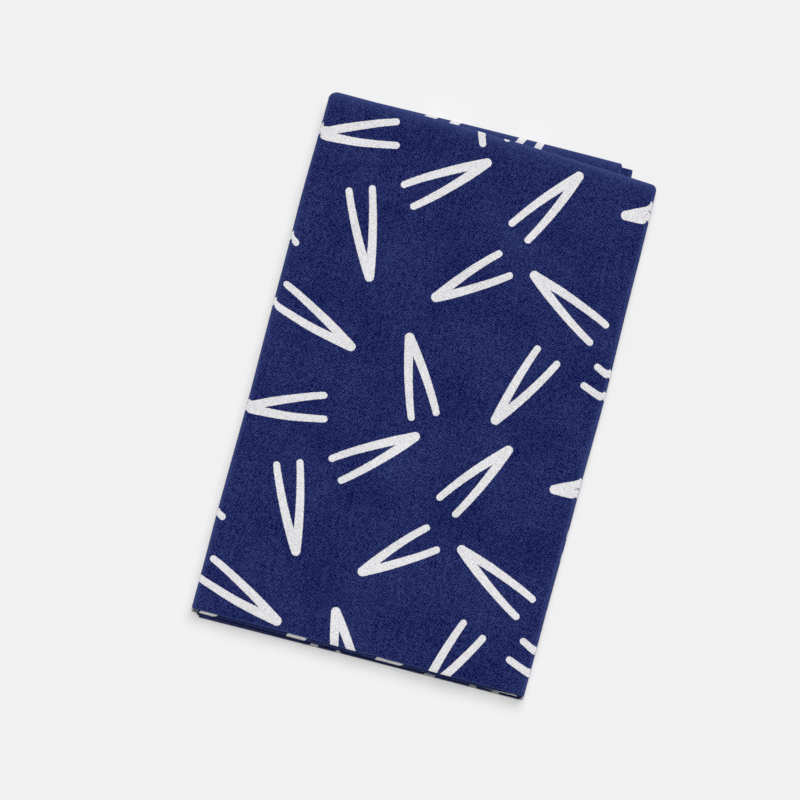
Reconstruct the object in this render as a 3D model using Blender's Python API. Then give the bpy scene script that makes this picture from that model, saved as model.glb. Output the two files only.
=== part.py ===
# A thin cotton hand towel, folded in three across its width and then back and forth in five along its
# length, lying flat. Metres, +Z up. +Y runs along the packet, +X across it, and the origin is the middle
# of its underside. Each pass of the long fold is the three plies of the first fold, pressed together.
import math
from collections import namedtuple

import bmesh
import bpy

MM = 0.001

# Driving dimensions
CLOTH_WIDTH = 340 * MM
CLOTH_LENGTH = 908 * MM
PARTS_ACROSS = 3
PARTS_ALONG = 5
PASS_THICKNESS = 1.0 * MM  # three plies of cloth
PASS_GAP = 0.3 * MM

HALF_WIDTH = CLOTH_WIDTH / PARTS_ACROSS / 2
HALF_LENGTH = CLOTH_LENGTH / PARTS_ALONG / 2
PITCH = PASS_THICKNESS + PASS_GAP
HEIGHT = PARTS_ALONG * PASS_THICKNESS + (PARTS_ALONG - 1) * PASS_GAP
OUTER_TURN = PITCH / 2 + PASS_THICKNESS / 2  # radius of the outside of a crease

# The lines that the cloth runs between, from its front cut end down through the packet, in millimetres.
# end: +1 at the far end of the packet, -1 at the near end. reach: past half the folded length, at the
# left and right. bow: more reach in the middle. inset: how far the side folds lie inside half the folded
# width. corner: the plan radius at the left and right. slack: how much deeper than round the crease is.
FoldLine = namedtuple(
    "FoldLine",
    "end reach_left reach_right bow inset_left inset_right corner_left corner_right slack",
)
FOLD_LINES = [
    FoldLine(-1, -0.2, 0.5, -0.2, -1.0, -0.5, 0.6, 0.3, 0.0),
    FoldLine(+1, 0.15, -3.5, 0.8, -0.7, -0.4, 2.8, 2.0, 0.45),
    FoldLine(-1, 0.6, 0.9, 0.1, 0.2, -0.3, 1.2, 0.8, 0.35),
    FoldLine(+1, 0.2, 1.2, 0.3, 0.5, 12.8, 1.4, 1.0, 0.5),
    FoldLine(-1, 1.55, 1.2, -0.1, 0.9, 0.2, 1.4, 1.2, 0.4),
    FoldLine(+1, -0.8, 0.3, 0.2, 1.3, 9.1, 0.5, 0.5, 0.0),
]

# The passes between those lines, top one first: how far each side fold bows outward, in millimetres.
Pass = namedtuple("Pass", "bow_left bow_right")
PASSES = [
    Pass(-0.1, 0.9),
    Pass(0.1, 0.6),
    Pass(-0.5, 1.2),
    Pass(-0.8, 0.4),
    Pass(-0.3, 1.0),
]

# Where a side fold swells out or falls in, in millimetres: the pass counted from the top, the side (-1 left,
# +1 right), the place along the packet, how far out, and how far it spreads.
SideSwell = namedtuple("SideSwell", "index side y height spread")
SIDE_SWELLS = [
    SideSwell(0, -1, 58, 0.5, 17),
    SideSwell(0, -1, -62, 0.2, 9),
    SideSwell(0, +1, -38, -0.5, 24),
]

# Soft unevenness of the packet's height, in millimetres: a shallow waist, and swells with their places.
Swell = namedtuple("Swell", "height x y spread_x spread_y")
SWELLS = [
    Swell(-0.35, 0, 1, 400, 26),
    Swell(0.30, -34, 62, 26, 24),
    Swell(0.22, 30, 48, 22, 30),
    Swell(-0.18, 2, 74, 14, 16),
    Swell(0.28, 22, -58, 30, 22),
    Swell(0.20, -36, -50, 20, 28),
    Swell(-0.16, -8, -72, 16, 16),
    Swell(-0.30, 56, 88, 18, 18),
    Swell(-0.22, -58, -88, 20, 16),
]

COLUMNS = 14  # steps across the width
PASS_STEPS = 14
CREASE_STEPS = 8
RIM_STEPS = 4

DYED_COTTON = (0.018, 0.026, 0.108, 1.0)  # deep blue, linear
SMOOTH_ANGLE = math.radians(50)


def blend(a, b, t):
    return a + (b - a) * t


def bulge(t):
    """A hump of height 1 at the middle of a run, and 0 at both ends."""
    return 4 * t * (1 - t)


def eased(count):
    """Fractions from 0 to 1 that lie closer together towards both ends."""
    return [0.5 - 0.5 * math.cos(math.pi * i / count) for i in range(count + 1)]


def corner_cut(radius, distance):
    """How far a rounded corner falls back at that distance from the side."""
    if distance >= radius:
        return 0
    return radius - math.sqrt(radius**2 - (radius - max(distance, 0)) ** 2)


def side_places(line):
    """X of the left and right side folds where they cross a fold line."""
    return -HALF_WIDTH + line.inset_left * MM, HALF_WIDTH - line.inset_right * MM


def tip_place(line, across, x, left, right):
    """Y of the outside of a crease, or of a cut end, at one place across the cloth."""
    reach = blend(line.reach_left, line.reach_right, across) + line.bow * bulge(across)
    reach -= corner_cut(line.corner_left, (x - left) / MM)
    reach -= corner_cut(line.corner_right, (right - x) / MM)
    return line.end * (HALF_LENGTH + reach * MM)


def turn_place(index, across, x, left, right):
    """Y where a pass ends and its crease begins. A cut end has no crease."""
    line = FOLD_LINES[index]
    tip = tip_place(line, across, x, left, right)
    if index in (0, len(FOLD_LINES) - 1):
        return tip
    return tip - line.end * (OUTER_TURN + line.slack * MM)


def pass_middle(index):
    """Height of the middle of a pass, counted from the top."""
    return HEIGHT - PASS_THICKNESS / 2 - index * PITCH


def uneven(x, y, z):
    """The point with the packet's swells, which grow from nothing at the underside to full at the top."""
    rise = 0
    for swell in SWELLS:
        dx = (x / MM - swell.x) / swell.spread_x
        dy = (y / MM - swell.y) / swell.spread_y
        rise += swell.height * MM * math.exp(-0.5 * (dx * dx + dy * dy))
    return x, y, z * (1 + rise / HEIGHT)


def side_swell(index, side, y):
    """How far a side fold of a pass swells out at one place along the packet."""
    out = 0
    for swell in SIDE_SWELLS:
        if (swell.index, swell.side) == (index, side):
            out += swell.height * MM * math.exp(-0.5 * ((y / MM - swell.y) / swell.spread) ** 2)
    return out


def pass_point(index, along, across, shift, offset):
    """A point of one pass. offset is its distance from the middle of the pass, towards the cloth's face."""
    start, finish = FOLD_LINES[index], FOLD_LINES[index + 1]
    bow = PASSES[index]
    start_left, start_right = side_places(start)
    finish_left, finish_right = side_places(finish)
    left = blend(start_left, finish_left, along) - bow.bow_left * MM * bulge(along)
    right = blend(start_right, finish_right, along) + bow.bow_right * MM * bulge(along)
    place = blend(start.end, finish.end, along) * HALF_LENGTH
    inner = min(1, 1.5 * bulge(along))  # the swells die out at the creases
    left -= inner * side_swell(index, -1, place)
    right += inner * side_swell(index, +1, place)
    x = blend(left, right, across) + shift
    y = blend(
        turn_place(index, across, x, left, right),
        turn_place(index + 1, across, x, left, right),
        along,
    )
    face_up = 1 if index % 2 == 0 else -1
    return uneven(x, y, pass_middle(index) + face_up * offset)


def crease_point(index, turned, across, shift, offset):
    """A point of one crease. turned goes from 0 on the upper pass to 1 on the lower one."""
    line = FOLD_LINES[index]
    left, right = side_places(line)
    x = blend(left, right, across) + shift
    angle = math.pi * turned
    radius = PITCH / 2 + line.end * offset
    y = turn_place(index, across, x, left, right) + line.end * (radius + line.slack * MM) * math.sin(angle)
    z = pass_middle(index - 1) - PITCH / 2 + radius * math.cos(angle)
    return uneven(x, y, z)


def strip_section():
    """The section across a pass as (across, shift, offset), once round: face, right rim, back, left rim."""
    half = PASS_THICKNESS / 2
    face = [(a, blend(half, -half, a), half) for a in eased(COLUMNS)]
    back = [(a, shift, -offset) for a, shift, offset in reversed(face)]
    right_rim = []
    for i in range(1, RIM_STEPS):
        angle = math.pi * i / RIM_STEPS
        right_rim.append((1, -half * (1 - math.sin(angle)), half * math.cos(angle)))
    left_rim = [(0, -shift, offset) for _, shift, offset in reversed(right_rim)]
    return face + right_rim + back + left_rim


def strip_places():
    """The sections along the cloth, from the front cut end to the back one, each a list of points."""
    section = strip_section()
    places = []
    for index in range(PARTS_ALONG):
        for along in eased(PASS_STEPS):
            places.append([pass_point(index, along, *spot) for spot in section])
        if index < PARTS_ALONG - 1:
            for step in range(1, CREASE_STEPS):
                turned = step / CREASE_STEPS
                places.append([crease_point(index + 1, turned, *spot) for spot in section])
    return places


def close_end(bm, ring):
    """Close a cut end with a row of faces between the cloth's face and its back."""
    opposite = 2 * COLUMNS + RIM_STEPS  # a point's index and that of the point across from it add up to this
    for i in range(-(RIM_STEPS // 2), COLUMNS + RIM_STEPS // 2):
        spots = [i, i + 1, (opposite - i - 1) % len(ring), (opposite - i) % len(ring)]
        bm.faces.new(list(dict.fromkeys(ring[spot] for spot in spots)))


def carry_on(bm, ring, points):
    """Extrude the section one step along the cloth, to its next place."""
    edges = [bm.edges.get((v, ring[i - 1])) for i, v in enumerate(ring)]
    made = bmesh.ops.extrude_edge_only(bm, edges=edges)["geom"]
    fresh = {v for v in made if isinstance(v, bmesh.types.BMVert)}
    carried = [next(e.other_vert(v) for e in v.link_edges if e.other_vert(v) in fresh) for v in ring]
    for vert, point in zip(carried, points):
        vert.co = point
    return carried


def centre_on_origin(bm):
    """Move the cloth so that the middle of its box stands over the origin."""
    for axis in (0, 1):
        places = [v.co[axis] for v in bm.verts]
        middle = (min(places) + max(places)) / 2
        for v in bm.verts:
            v.co[axis] -= middle


def dyed_cotton():
    material = bpy.data.materials.new("dyed_cotton")
    material.use_nodes = True
    surface = material.node_tree.nodes["Principled BSDF"]
    surface.inputs["Base Color"].default_value = DYED_COTTON
    surface.inputs["Roughness"].default_value = 0.9
    surface.inputs["Metallic"].default_value = 0.0
    return material


def make_towel():
    places = strip_places()
    bm = bmesh.new()
    first = [bm.verts.new(point) for point in places[0]]
    for i, vert in enumerate(first):
        bm.edges.new((first[i - 1], vert))
    ring = first
    for points in places[1:]:
        ring = carry_on(bm, ring, points)
    close_end(bm, first)
    close_end(bm, ring)
    centre_on_origin(bm)
    bmesh.ops.recalc_face_normals(bm, faces=bm.faces)
    mesh = bpy.data.meshes.new("towel")
    bm.to_mesh(mesh)
    bm.free()
    mesh.shade_smooth()
    mesh.set_sharp_from_angle(angle=SMOOTH_ANGLE)
    mesh.materials.append(dyed_cotton())
    towel = bpy.data.objects.new("towel", mesh)
    bpy.context.scene.collection.objects.link(towel)
    return towel


for old in list(bpy.data.objects):
    bpy.data.objects.remove(old)
make_towel()
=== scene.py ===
import bpy
import math
from collections import namedtuple
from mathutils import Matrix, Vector


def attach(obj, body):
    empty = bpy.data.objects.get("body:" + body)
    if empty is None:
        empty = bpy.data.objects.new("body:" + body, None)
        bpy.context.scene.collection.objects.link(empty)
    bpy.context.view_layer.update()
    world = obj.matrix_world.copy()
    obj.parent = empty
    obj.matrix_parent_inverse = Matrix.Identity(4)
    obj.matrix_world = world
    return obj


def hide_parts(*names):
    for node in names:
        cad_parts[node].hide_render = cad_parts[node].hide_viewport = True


# A thin printed cotton towel, folded in three across and in five along, lying on a pale floor.
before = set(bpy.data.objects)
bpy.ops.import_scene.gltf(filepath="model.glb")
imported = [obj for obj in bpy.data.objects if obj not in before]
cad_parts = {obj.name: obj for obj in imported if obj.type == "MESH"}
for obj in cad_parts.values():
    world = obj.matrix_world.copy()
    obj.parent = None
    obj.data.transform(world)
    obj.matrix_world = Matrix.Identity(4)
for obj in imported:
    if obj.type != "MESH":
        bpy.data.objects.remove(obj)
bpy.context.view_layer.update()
mm = 0.001


def blend(a, b, t):
    return a + (b - a) * t


# An sRGB hex value as linear red, green, blue and alpha.
def hexColour(code):
    parts = [int(code[i:i + 2], 16) / 255 for i in (1, 3, 5)]
    linear = [c / 12.92 if c <= 0.04045 else ((c + 0.055) / 1.055) ** 2.4 for c in parts]
    return (*linear, 1.0)


# Camera: the photo's view from above, turned a little, with the near end of the packet at the bottom
camera = {
    "turn": 14.7,  # degrees
    "elevation": 81.5,
    "distance": 4.0,
    "seenWidth": 268 * mm,  # what the whole picture takes in at the packet
    "aim": (-8.32 * mm, -4.8 * mm, 5 * mm),
    "sensor": 36.0,
    "nearLimit": 0.05,
}


def placeCamera(s):
    turn, tilt = math.radians(s["turn"]), math.radians(s["elevation"])
    back = Vector((math.sin(turn) * math.cos(tilt), -math.cos(turn) * math.cos(tilt), math.sin(tilt)))
    bpy.ops.object.camera_add(location=Vector(s["aim"]) + back * s["distance"])
    eye = bpy.context.object
    eye.rotation_euler = back.to_track_quat("Z", "Y").to_euler()
    eye.data.sensor_width = s["sensor"]
    eye.data.lens = s["sensor"] * s["distance"] / s["seenWidth"]
    eye.data.clip_start = s["nearLimit"]
    bpy.context.scene.camera = eye


placeCamera(camera)
print("camera placed")


# Light: most of it straight down, the rest from behind the far end, so that the near side has a short pale
# shadow and the others hardly any
studio = {
    "room": 0.07,  # even light from all round
    "lampDistance": 2.0,
    "floorColour": "#E7E7E7",
    "floorRoughness": 0.95,
    "floorSize": 20.0,
    "floorDrop": 0.02 * mm,  # keeps the floor's face clear of the cloth's
}
Lamp = namedtuple("Lamp", "name power elevation turn spread")  # all angles in degrees, turn from +Y to +X
lamps = [
    Lamp("overheadBox", 2.09, 84, 12, 9),
    Lamp("farBox", 1.45, 55, 9, 40),
]


def lightStudio(s):
    for lamp in lamps:
        high, turn = math.radians(lamp.elevation), math.radians(lamp.turn)
        towards = Vector((math.sin(turn) * math.cos(high), math.cos(turn) * math.cos(high), math.sin(high)))
        bpy.ops.object.light_add(type="SUN", location=towards * s["lampDistance"])
        box = bpy.context.object
        box.name = lamp.name
        box.data.energy = lamp.power
        box.data.angle = math.radians(lamp.spread)
        box.rotation_euler = towards.to_track_quat("Z", "Y").to_euler()
    world = bpy.data.worlds.new("studioRoom")
    world.use_nodes = True
    world.node_tree.nodes["Background"].inputs["Color"].default_value = (1, 1, 1, 1)
    world.node_tree.nodes["Background"].inputs["Strength"].default_value = s["room"]
    bpy.context.scene.world = world
    bpy.context.scene.view_settings.view_transform = "Standard"


def makeFloor(s):
    bpy.ops.object.select_all(action="DESELECT")
    bpy.ops.mesh.primitive_plane_add(size=s["floorSize"], location=(0, 0, -s["floorDrop"]))
    floor = bpy.context.object
    floor.name = "floor"
    paper = bpy.data.materials.new("mattPaper")
    paper.use_nodes = True
    skin = paper.node_tree.nodes["Principled BSDF"]
    skin.inputs["Base Color"].default_value = hexColour(s["floorColour"])
    skin.inputs["Roughness"].default_value = s["floorRoughness"]
    skin.inputs["Specular IOR Level"].default_value = 0.0
    floor.data.materials.append(paper)


lightStudio(studio)
makeFloor(studio)
print("studio lit")


# The towel: one length of cloth, 340 by 908 mm. The left third is folded under first, then the right
# third over the back of it, and the strip that makes then runs back and forth five times.
towelFold = {
    "width": 340 * mm,
    "length": 908 * mm,
    "partsAcross": 3,
    "parts": 5,
    "passThickness": 1.0 * mm,
    "passGap": 0.3 * mm,
    "cloth": 0.26 * mm,
    "plyStep": 0.37 * mm,  # from the middle of one ply to that of the next
    "leftThird": 112.2 * mm,
    "rightThird": 113.4 * mm,
    "sideSlack": 0.25 * mm,  # how much deeper than round the side folds are
    "sideSteps": 8,
    "thirdSteps": 44,
    "passSteps": 46,
    "creaseSteps": 12,
    "bunch": 0.95,  # how far the lines down and across the cloth draw together towards its folds
    "smoothAngle": 50,  # degrees
    "ripple": 0.09 * mm,  # how far each pass ripples up and down, within the gap to the next
    "tremor": 0.16 * mm,  # how far its side folds stray from their line
    "rightTremor": 40,  # where on the slow wave the right side starts, so that it differs from the left
    "waveRise": 1.5,  # how soon these waves reach their height beside a crease
    "droop": 0.42 * mm,  # how far the front cut end hangs over the crease below it, and from how far in
    "droopRun": 2.4,
    "droopSpread": 0.5,  # how uneven that is along the end, and how quickly it changes there
    "droopPace": 2.6,
    "cutStray": 0.2 * mm,  # how far that end strays from its line, and from how far in
    "cutRun": 8.0,
    "cutPace": 4.2,
    "farHighlight": 0.4,  # painted highlight: how pale each kind of fold is painted, most on the far creases, which face the far lamp, less on the near creases, which lie in shade, and how pale the very edge of each cut end is painted
    "farCrestHighlight": 0.65,
    "nearHighlight": 0.2,
    "sideHighlight": 0.6,
    "cutPale": 1.0,
    "creaseFade": 1.6,  # mm over which that fades
    "sideFade": 0.4,
    "cutFade": 0.1,
}

# The lines that the strip runs between, from its front cut end down through the packet, in mm. end: +1 at
# the far end of the packet and -1 at the near end. reach: past half the folded length, at the left and
# right, with a bow in the middle. inset: how far the side folds lie in. corner: plan radius. slack: how
# much deeper than round the crease is.
FoldLine = namedtuple(
    "FoldLine",
    "end reachLeft reachRight bow insetLeft insetRight cornerLeft cornerRight slack",
)
foldLines = [
    FoldLine(-1, -0.2, 0.5, -0.2, -1.0, -0.5, 0.6, 0.3, 0.0),
    FoldLine(+1, 0.15, -3.5, 0.8, -0.7, -0.4, 2.8, 2.0, 0.45),
    FoldLine(-1, 0.6, 0.9, 0.1, 0.2, -0.3, 1.2, 0.8, 0.35),
    FoldLine(+1, 0.2, 1.2, 0.3, 0.5, 12.8, 1.4, 1.0, 0.5),
    FoldLine(-1, 1.55, 1.2, -0.1, 0.9, 0.2, 1.4, 1.2, 0.4),
    FoldLine(+1, -0.8, 0.3, 0.2, 1.3, 9.1, 0.5, 0.5, 0.0),
]

# How far the side folds of each pass bow outward, in mm, top pass first
Pass = namedtuple("Pass", "bowLeft bowRight")
passes = [Pass(-0.1, 0.9), Pass(0.1, 0.6), Pass(-0.5, 1.2), Pass(-0.8, 0.4), Pass(-0.3, 1.0)]

# Where a side fold swells out or falls in, in mm. index: the pass, top one first. side: -1 left, +1 right
SideSwell = namedtuple("SideSwell", "index side y height spread")
sideSwells = [
    SideSwell(0, -1, 58, 0.5, 17),
    SideSwell(0, -1, -62, 0.2, 9),
    SideSwell(0, +1, -38, -0.5, 24),
]

# Soft unevenness of the packet's height, in mm
Swell = namedtuple("Swell", "height x y spreadX spreadY")
swells = [
    Swell(-0.35, 0, 1, 400, 26),
    Swell(0.30, -34, 62, 26, 24),
    Swell(0.22, 30, 48, 22, 30),
    Swell(-0.18, 2, 74, 14, 16),
    Swell(0.28, 22, -58, 30, 22),
    Swell(0.20, -36, -50, 20, 28),
    Swell(-0.16, -8, -72, 16, 16),
    Swell(-0.30, 56, 88, 18, 18),
    Swell(-0.22, -58, -88, 20, 16),
]

halfWidth = towelFold["width"] / towelFold["partsAcross"] / 2
halfLength = towelFold["length"] / towelFold["parts"] / 2
pitch = towelFold["passThickness"] + towelFold["passGap"]
packetHeight = towelFold["parts"] * pitch - towelFold["passGap"]
outerTurn = pitch / 2 + towelFold["passThickness"] / 2


def bulge(t):
    return 4 * t * (1 - t)


# Fractions from 0 to 1 that lie closer together towards both ends.
def eased(count):
    even = [i / count for i in range(count + 1)]
    return [blend(t, 0.5 - 0.5 * math.cos(math.pi * t), towelFold["bunch"]) for t in even]


def cornerCut(radius, distance):
    if distance >= radius:
        return 0
    return radius - math.sqrt(radius**2 - (radius - max(distance, 0)) ** 2)


def sidePlaces(line):
    return -halfWidth + line.insetLeft * mm, halfWidth - line.insetRight * mm


# Y of the outside of a crease, or of a cut end.
def tipPlace(line, across, x, left, right):
    reach = blend(line.reachLeft, line.reachRight, across) + line.bow * bulge(across)
    reach -= cornerCut(line.cornerLeft, (x - left) / mm)
    reach -= cornerCut(line.cornerRight, (right - x) / mm)
    return line.end * (halfLength + reach * mm)


# Y where a pass ends and its crease begins. A cut end has no crease.
def turnPlace(index, across, x, left, right):
    line = foldLines[index]
    tip = tipPlace(line, across, x, left, right)
    if index in (0, len(foldLines) - 1):
        return tip
    return tip - line.end * (outerTurn + line.slack * mm)


def passMiddle(index):
    return packetHeight - towelFold["passThickness"] / 2 - index * pitch


def uneven(x, y, z):
    rise = 0
    for swell in swells:
        dx = (x / mm - swell.x) / swell.spreadX
        dy = (y / mm - swell.y) / swell.spreadY
        rise += swell.height * mm * math.exp(-0.5 * (dx * dx + dy * dy))
    return Vector((x, y, z * (1 + rise / packetHeight)))


# Slow waves, each between -1 and 1. The first five are the passes' own, and the next two the cut end's
slowWave = {
    "short": (9.7, 13.3),  # mm for each radian, along and across
    "long": (23.0, 17.0),
    "shortShare": 0.6,
    "shifts": (1.9, 2.3, 4.1),  # radians from each wave to the next
}


def wave(index, a, b):
    s = slowWave
    first, second, third = (shift * index for shift in s["shifts"])
    short = math.sin(a / s["short"][0] + first) * math.cos(b / s["short"][1] - second)
    long = math.sin(a / s["long"][0] - b / s["long"][1] + third)
    return blend(long, short, s["shortShare"])


# A point of one pass. offset is its distance from the middle of the pass, towards the cloth's face.
def passPoint(index, along, across, shift, offset):
    s = towelFold
    startLeft, startRight = sidePlaces(foldLines[index])
    finishLeft, finishRight = sidePlaces(foldLines[index + 1])
    left = blend(startLeft, finishLeft, along) - passes[index].bowLeft * mm * bulge(along)
    right = blend(startRight, finishRight, along) + passes[index].bowRight * mm * bulge(along)
    place = blend(foldLines[index].end, foldLines[index + 1].end, along) * halfLength / mm
    inner = min(1, s["waveRise"] * bulge(along))  # the swells and waves die out at the creases
    for swell in sideSwells:
        if swell.index == index:
            out = inner * swell.height * mm * math.exp(-0.5 * ((place - swell.y) / swell.spread) ** 2)
            left -= out if swell.side < 0 else 0
            right += out if swell.side > 0 else 0
    run = 2 * halfLength / mm * along
    left += s["tremor"] * inner * wave(index, run, 0)
    right += s["tremor"] * inner * wave(index, run, s["rightTremor"])
    x = blend(left, right, across) + shift
    start = turnPlace(index, across, x, left, right)
    finish = turnPlace(index + 1, across, x, left, right)
    y = blend(start, finish, along)
    faceUp = 1 if index % 2 == 0 else -1
    z = passMiddle(index) + faceUp * offset
    if index < s["parts"] - 1:  # the lowest pass lies flat
        z += s["ripple"] * inner * wave(index, y / mm, x / mm)
    if index == 0:  # the front cut end hangs and strays a little
        sag = 1 + s["droopSpread"] * wave(s["parts"], s["droopPace"] * x / mm, 0)
        z -= s["droop"] * sag * max(0, 1 - run / s["droopRun"]) ** 2
        stray = s["cutStray"] * wave(s["parts"] + 1, s["cutPace"] * x / mm, 0)
        y += stray * max(0, 1 - run / s["cutRun"])
    return uneven(x, y, z)


# A point of one crease. turned goes from 0 on the upper pass to 1 on the lower one.
def creasePoint(index, turned, across, shift, offset):
    line = foldLines[index]
    left, right = sidePlaces(line)
    x = blend(left, right, across) + shift
    angle = math.pi * turned
    radius = pitch / 2 + line.end * offset
    y = turnPlace(index, across, x, left, right) + line.end * (radius + line.slack * mm) * math.sin(angle)
    return uneven(x, y, passMiddle(index - 1) - pitch / 2 + radius * math.cos(angle))


Column = namedtuple("Column", "flat across shift offset")
Row = namedtuple("Row", "kind index spot")


# The lines down the cloth, from its left selvedge to its right one, and where the first fold puts them.
def clothColumns(s):
    face = s["width"] - s["leftThird"] - s["rightThird"]
    step, skin = s["plyStep"], s["cloth"] / 2
    leftDepth = step / 2 + s["sideSlack"]
    rightDepth = step + s["sideSlack"]
    leftTurn, rightTurn = skin + leftDepth, skin + rightDepth
    columns = []
    for part in eased(s["thirdSteps"]):  # the left third, in the middle of the pass
        reach = (1 - part) * s["leftThird"] / face
        columns.append(Column(part * s["leftThird"], reach, leftTurn * (1 - reach), 0.0))
    for i in range(1, s["sideSteps"]):
        angle = math.pi * i / s["sideSteps"]
        height = step / 2 - step / 2 * math.cos(angle)
        columns.append(Column(s["leftThird"], 0.0, leftTurn - leftDepth * math.sin(angle), height))
    for part in eased(s["thirdSteps"]):  # the middle third, which is the face
        shift = blend(leftTurn, -rightTurn, part)
        columns.append(Column(s["leftThird"] + part * face, part, shift, step))
    for i in range(1, s["sideSteps"]):
        angle = math.pi * i / s["sideSteps"]
        shift = rightDepth * math.sin(angle) - rightTurn
        columns.append(Column(s["leftThird"] + face, 1.0, shift, step * math.cos(angle)))
    for part in eased(s["thirdSteps"]):  # the right third, over the back
        reach = 1 - part * s["rightThird"] / face
        flat = s["width"] - s["rightThird"] * (1 - part)
        columns.append(Column(flat, reach, -rightTurn * reach, -step))
    return columns


# The lines across the cloth, from its front cut end to its back one.
def clothRows(s):
    rows = []
    for index in range(s["parts"]):
        rows += [Row("pass", index, along) for along in eased(s["passSteps"])]
        if index < s["parts"] - 1:
            rows += [Row("crease", index + 1, i / s["creaseSteps"]) for i in range(1, s["creaseSteps"])]
    return rows


def foldedPoint(row, across, shift, offset):
    place = passPoint if row.kind == "pass" else creasePoint
    return place(row.index, row.spot, across, shift, offset)


# How pale the cloth is painted there: a painted highlight, most on the crest of a far crease, which faces
# the far lamp, less on the near creases, which lie in shade, also along the side folds, and a paler line
# painted only at the very edge of a cut end
def foldHighlightAndPaleCut(s, row, column):
    if row.kind == "crease":
        if foldLines[row.index].end < 0:
            return s["nearHighlight"]
        return s["farHighlight"] + s["farCrestHighlight"] * math.sin(math.pi * row.spot) ** 2
    toSide = min(abs(column.flat - s["leftThird"]), abs(s["width"] - s["rightThird"] - column.flat)) / mm
    highlightAndPale = s["sideHighlight"] * math.exp(-toSide / s["sideFade"])
    for index, toLine in ((row.index, row.spot), (row.index + 1, 1 - row.spot)):
        most, fade = s["farHighlight"], s["creaseFade"]
        if index in (0, s["parts"]):
            most, fade = s["cutPale"], s["cutFade"]
        elif foldLines[index].end < 0:
            most = s["nearHighlight"]
        highlightAndPale = max(highlightAndPale, most * math.exp(-toLine * 2 * halfLength / mm / fade))
    return highlightAndPale


def makeTowel(s):
    columns, rows = clothColumns(s), clothRows(s)
    wide, long = len(columns) - 1, len(rows) - 1
    bpy.ops.object.select_all(action="DESELECT")
    bpy.ops.mesh.primitive_grid_add(x_subdivisions=wide, y_subdivisions=long, size=1, calc_uvs=True)
    towel = bpy.context.object
    towel.name = towel.data.name = "foldedTowel"
    mesh = towel.data

    # Each line across keeps its real distance along the cloth, for the print and the weave
    flatPlaces = {}
    for c, column in enumerate(columns):
        gone, last = 0.0, None
        for r, row in enumerate(rows):
            middle = foldedPoint(row, column.across, 0.0, 0.0)
            gone += (middle - last).length if last else 0.0
            last = middle
            flatPlaces[c, r] = (column.flat, gone)

    spots = [(round((v.co.x + 0.5) * wide), round((v.co.y + 0.5) * long)) for v in mesh.vertices]
    flatMap = mesh.uv_layers.active
    flatMap.name = "clothFlat"
    for loop in mesh.loops:
        flatMap.data[loop.index].uv = flatPlaces[spots[loop.vertex_index]]
    # A painted highlight along the folds, and a pale line at the cut ends' very edge, kept on each point
    # for the cotton
    highlightAndPale = mesh.attributes.new("foldHighlightAndPaleCut", "FLOAT", "POINT")
    for vert, (c, r) in zip(mesh.vertices, spots):
        column = columns[c]
        vert.co = foldedPoint(rows[r], column.across, column.shift, column.offset)
        highlightAndPale.data[vert.index].value = foldHighlightAndPaleCut(s, rows[r], column)
    middleX, middleY = (
        (min(v.co[axis] for v in mesh.vertices) + max(v.co[axis] for v in mesh.vertices)) / 2
        for axis in (0, 1)
    )
    for vert in mesh.vertices:
        vert.co.x -= middleX
        vert.co.y -= middleY

    thick = towel.modifiers.new("clothThickness", "SOLIDIFY")
    thick.thickness = s["cloth"]
    thick.offset = 0.0
    thick.use_even_offset = True
    bpy.ops.object.modifier_apply(modifier=thick.name)
    bpy.ops.object.shade_smooth_by_angle(angle=math.radians(s["smoothAngle"]))
    return towel


towel = makeTowel(towelFold)
print("towel folded", len(towel.data.polygons), "faces")


# Add a node, set its own settings, and set or link its inputs
def addNode(tree, kind, inputs, **settings):
    node = tree.nodes.new("ShaderNode" + kind)
    for name, value in settings.items():
        setattr(node, name, value)
    for name, value in inputs.items():
        if isinstance(value, bpy.types.NodeSocket):
            tree.links.new(value, node.inputs[name])
        elif isinstance(value, bpy.types.Node):
            tree.links.new(value.outputs[0], node.inputs[name])
        else:
            node.inputs[name].default_value = value
    return node


# Thin plain-weave cotton, dyed from both sides through a stencil: a matt surface whose crossing threads
# give a fine light and dark grain, a little cloudy where the dye took unevenly, with marks left white
# whose edges are crisp but follow the threads.
dyedCotton = {
    "deepBlue": "#000540",
    "paleBlue": "#354073",
    # painted highlight blue for the folds' lit crests and side folds, also used for the pale cut edges
    "highlightBlue": "#3A487B",
    "white": "#EBEAEC",
    "whiteGap": "#C4C4C8",
    "depth": 1.8,  # how far the tone leans to the deeper of the two
    "thread": 0.52,  # mm. The real cloth has a thread every 0.45 mm, which is too fine to show
    "threadRun": 14.0,  # mm along a thread before its tone changes
    "wander": 0.6,  # mm that the threads stray
    "wanderScale": 0.16,  # this and the two scales below are for each mm
    "over": 0.44,  # how much of the tone comes from which thread is on top, from the slant that the
    "twist": 0.08,  # threads' twist gives, and from each tuft of fibres
    "fibre": 1.3,
    "tufts": 2.0,  # tufts across a thread
    "crossover": 0.15,  # how softly one thread gives way to the other where they cross
    "slub": 0.8,  # from each thread, and from clouds in the dye
    "cloud": 0.6,
    "cloudScale": 0.05,
    "highlightAndPale": 0.9,  # how far the painted fold highlight and the pale cut edges turn the blue to the highlight blue
    "dyeCreep": 0.16,  # mm that the dye strays along the threads at a mark's edge
    "creepScale": 1.6,
    "edge": 0.10,  # mm over which a mark's edge fades
    "relief": 0.05,  # mm
    "slubRelief": 0.5,  # how much of it comes from thick and thin threads
    "roughness": 0.92,
    "specular": 0.05,
    "sheen": 0.02,
    "sheenRoughness": 0.6,
}

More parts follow.
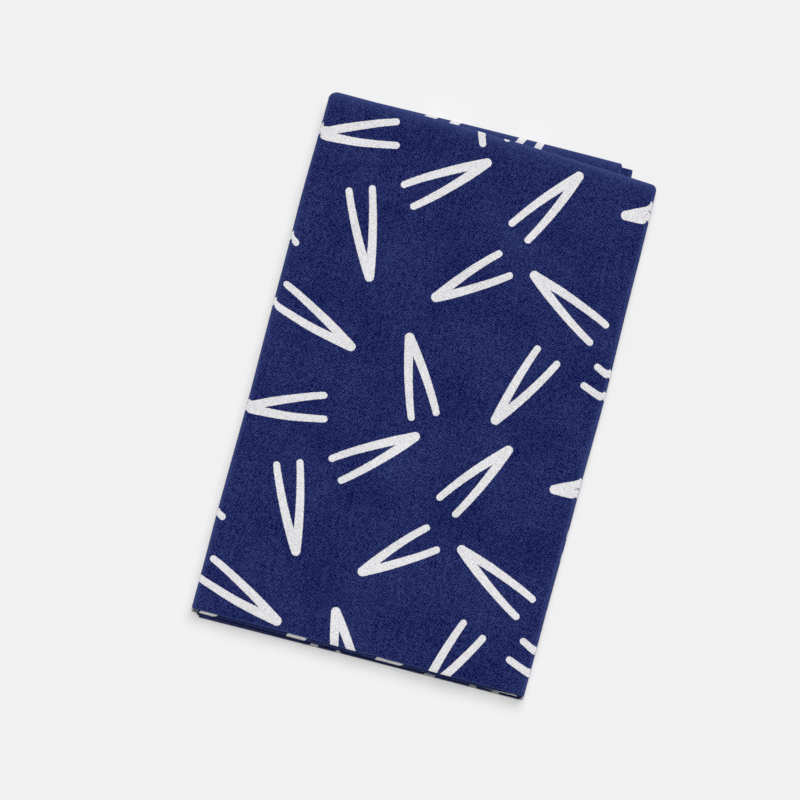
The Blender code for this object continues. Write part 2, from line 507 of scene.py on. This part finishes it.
# The marks: scattered pairs of pine needles, a common old motif. All in mm on the flat cloth: where the
# middle of each pair lies in its repeat, its turn in degrees, its length, and the angle it opens by.
needles = {
    "repeat": (108.0, 96.0),
    "start": (76.0, 86.0),  # where the repeat begins on the cloth
    "joint": 1.6,  # half width at the joint and at the tips
    "tip": 1.15,
    "bow": 0.7,
    "middle": 0.45,  # how far up a pair its middle is
}
Needle = namedtuple("Needle", "x y turn length spread")
needlePairs = [
    Needle(15, 13, 24, 28, 17),
    Needle(52, 18, -68, 30, 15),
    Needle(88, 10, 155, 27, 18),
    Needle(22, 46, 118, 29, 16),
    Needle(60, 50, -20, 30, 15),
    Needle(97, 44, 50, 26, 18),
    Needle(10, 78, -148, 28, 16),
    Needle(47, 83, 75, 27, 17),
    Needle(83, 77, -128, 29, 16),
]


# How far a point of the flat cloth is from one pair of needles, below 0 inside it
def needleDistance(tree, flat, pair, s):
    wide, long = s["repeat"]
    half = math.radians(pair.spread / 2)
    reach = (pair.length * math.sin(half), pair.length * math.cos(half), 0)
    unit = tuple(v / pair.length**2 for v in reach)
    centre = (pair.x + s["start"][0], pair.y + s["start"][1], 0)
    away = addNode(tree, "VectorMath", {0: flat, 1: centre}, operation="SUBTRACT")
    limits = {0: away, 1: (wide / 2, long / 2, 1), 2: (-wide / 2, -long / 2, -1)}
    near = addNode(tree, "VectorMath", limits, operation="WRAP")
    turn = {"Vector": near, "Angle": math.radians(pair.turn)}
    turned = addNode(tree, "VectorRotate", turn, rotation_type="Z_AXIS")
    parts = addNode(tree, "SeparateXYZ", {0: turned})
    side = addNode(tree, "Math", {0: parts.outputs["X"]}, operation="ABSOLUTE")
    up = addNode(tree, "Math", {0: parts.outputs["Y"], 1: pair.length * s["middle"]}, operation="ADD")
    # Each needle bows outward a little between its ends
    along = addNode(tree, "Math", {0: up, 1: pair.length}, operation="DIVIDE", use_clamp=True)
    left = addNode(tree, "Math", {0: 1.0, 1: along}, operation="SUBTRACT")
    hump = addNode(tree, "Math", {0: along, 1: left}, operation="MULTIPLY")
    bowed = addNode(tree, "Math", {0: hump, 1: -4 * s["bow"], 2: side}, operation="MULTIPLY_ADD")
    spot = addNode(tree, "CombineXYZ", {"X": bowed, "Y": up})
    onto = addNode(tree, "VectorMath", {0: spot, 1: unit}, operation="DOT_PRODUCT")
    share = addNode(tree, "Clamp", {"Value": onto.outputs["Value"]})
    nearest = addNode(tree, "VectorMath", {0: reach, "Scale": share}, operation="SCALE")
    gap = addNode(tree, "VectorMath", {0: spot, 1: nearest}, operation="DISTANCE")
    taper = {0: share, 1: s["joint"] - s["tip"], 2: gap.outputs["Value"]}
    tapered = addNode(tree, "Math", taper, operation="MULTIPLY_ADD")
    return addNode(tree, "Math", {0: tapered, 1: s["joint"]}, operation="SUBTRACT")


def makeDyedCotton(s):
    cotton = bpy.data.materials.new("dyedPlainWeaveCotton")
    cotton.use_nodes = True
    tree = cotton.node_tree
    surface = tree.nodes["Principled BSDF"]
    metres = addNode(tree, "UVMap", {}, uv_map="clothFlat")
    flat = addNode(tree, "VectorMath", {0: metres, "Scale": 1 / mm}, operation="SCALE")

    # Threads that cross over and under, and stray a little
    stray = addNode(tree, "TexNoise", {"Vector": flat, "Scale": s["wanderScale"], "Detail": 2.0})
    moved = {0: stray.outputs["Color"], 1: (s["wander"], s["wander"], 0), 2: flat}
    strayed = addNode(tree, "VectorMath", moved, operation="MULTIPLY_ADD")
    crossings = addNode(tree, "VectorMath", {0: strayed, "Scale": 1 / s["thread"]}, operation="SCALE")
    turns = addNode(tree, "VectorMath", {0: crossings, "Scale": math.pi}, operation="SCALE")
    waves = addNode(tree, "VectorMath", {0: turns}, operation="SINE")
    threads = addNode(tree, "SeparateXYZ", {0: waves})
    over = addNode(tree, "Math", {0: threads.outputs["X"], 1: threads.outputs["Y"]}, operation="MULTIPLY")
    crown = addNode(tree, "Math", {0: over}, operation="ABSOLUTE")

    # The twist of the threads shows as a slant across them
    turn = addNode(tree, "SeparateXYZ", {0: turns})
    slant = addNode(tree, "Math", {0: turn.outputs["X"], 1: turn.outputs["Y"]}, operation="SUBTRACT")
    twist = addNode(tree, "Math", {0: slant}, operation="COSINE")

    # Each tuft of fibres and each thread has its own tone, and a thread's changes slowly along it
    fibres = addNode(tree, "VectorMath", {0: crossings, "Scale": s["tufts"]}, operation="SCALE")
    tuft = addNode(tree, "VectorMath", {0: fibres}, operation="FLOOR")
    fibreTone = addNode(tree, "TexWhiteNoise", {"Vector": tuft})
    slow = s["thread"] / s["threadRun"]
    threadTones = []
    for stretch in ((1, slow, 0), (slow, 1, 0)):
        laid = addNode(tree, "VectorMath", {0: crossings, 1: stretch}, operation="MULTIPLY")
        threadTones.append(addNode(tree, "TexNoise", {"Vector": laid, "Scale": 1.0, "Detail": 1.0}))
    topmost = {"Value": over, "From Min": -s["crossover"], "From Max": s["crossover"]}
    onTop = addNode(tree, "MapRange", topmost)
    threadTone = addNode(tree, "Mix", {0: onTop, 2: threadTones[1], 3: threadTones[0]})
    cloud = addNode(tree, "TexNoise", {"Vector": flat, "Scale": s["cloudScale"], "Detail": 4.0})

    # tone = 0.5 + the share of each, each about its own middle
    tone = addNode(tree, "Math", {0: over, 1: s["over"], 2: 0.5}, operation="MULTIPLY_ADD")
    tone = addNode(tree, "Math", {0: twist, 1: s["twist"], 2: tone}, operation="MULTIPLY_ADD")
    for source, amount in (
        (fibreTone.outputs["Value"], s["fibre"]),
        (threadTone.outputs[0], s["slub"]),
        (cloud.outputs[0], s["cloud"]),
    ):
        centred = addNode(tree, "Math", {0: source, 1: 0.5}, operation="SUBTRACT")
        share = {0: centred, 1: amount, 2: tone}
        tone = addNode(tree, "Math", share, operation="MULTIPLY_ADD", use_clamp=True)

    # The marks, as the nearest pair of needles, with the dye creeping along the threads at their edges
    creep = addNode(tree, "TexNoise", {"Vector": flat, "Scale": s["creepScale"], "Detail": 1.0})
    nearest = None
    for pair in needlePairs:
        distance = needleDistance(tree, flat, pair, needles)
        if nearest is None:
            nearest = distance
        else:
            nearest = addNode(tree, "Math", {0: nearest, 1: distance}, operation="MINIMUM")
    ragged = addNode(tree, "Math", {0: creep, 1: 2 * s["dyeCreep"], 2: nearest}, operation="MULTIPLY_ADD")
    fade = {
        "Value": ragged,
        "From Min": s["dyeCreep"] - s["edge"],
        "From Max": s["dyeCreep"] + s["edge"],
        "To Min": 1.0,
        "To Max": 0.0,
    }
    white = addNode(tree, "MapRange", fade, interpolation_type="SMOOTHSTEP")

    # Painted highlight: the folds' lit crests and side folds, and the pale very edge of the cut ends, turn
    # towards the highlight blue
    highlightAndPaleMask = addNode(tree, "Attribute", {}, attribute_name="foldHighlightAndPaleCut")
    lift = addNode(tree, "Math", {0: tone, 1: s["depth"]}, operation="POWER")
    shades = {0: lift, 6: hexColour(s["deepBlue"]), 7: hexColour(s["paleBlue"])}
    fresh = addNode(tree, "Mix", shades, data_type="RGBA")
    highlightAndPaleShare = addNode(tree, "Math", {0: highlightAndPaleMask.outputs["Fac"], 1: s["highlightAndPale"]}, operation="MULTIPLY")
    shades = {0: highlightAndPaleShare, 6: fresh.outputs[2], 7: hexColour(s["highlightBlue"])}
    blue = addNode(tree, "Mix", shades, data_type="RGBA")
    shades = {0: tone, 6: hexColour(s["whiteGap"]), 7: hexColour(s["white"])}
    undyed = addNode(tree, "Mix", shades, data_type="RGBA")
    colours = {0: white, 6: blue.outputs[2], 7: undyed.outputs[2]}
    colour = addNode(tree, "Mix", colours, data_type="RGBA")
    tree.links.new(colour.outputs[2], surface.inputs["Base Color"])

    heights = {0: threadTone, 1: s["slubRelief"], 2: crown}
    raised = addNode(tree, "Math", heights, operation="MULTIPLY_ADD")
    bump = addNode(tree, "Bump", {"Height": raised, "Distance": s["relief"] * mm})
    tree.links.new(bump.outputs[0], surface.inputs["Normal"])
    surface.inputs["Roughness"].default_value = s["roughness"]
    surface.inputs["Specular IOR Level"].default_value = s["specular"]
    surface.inputs["Sheen Weight"].default_value = s["sheen"]
    surface.inputs["Sheen Roughness"].default_value = s["sheenRoughness"]
    return cotton


towel.data.materials.clear()
towel.data.materials.append(makeDyedCotton(dyedCotton))
print("cotton dyed")

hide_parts("towel")
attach(towel, "root")
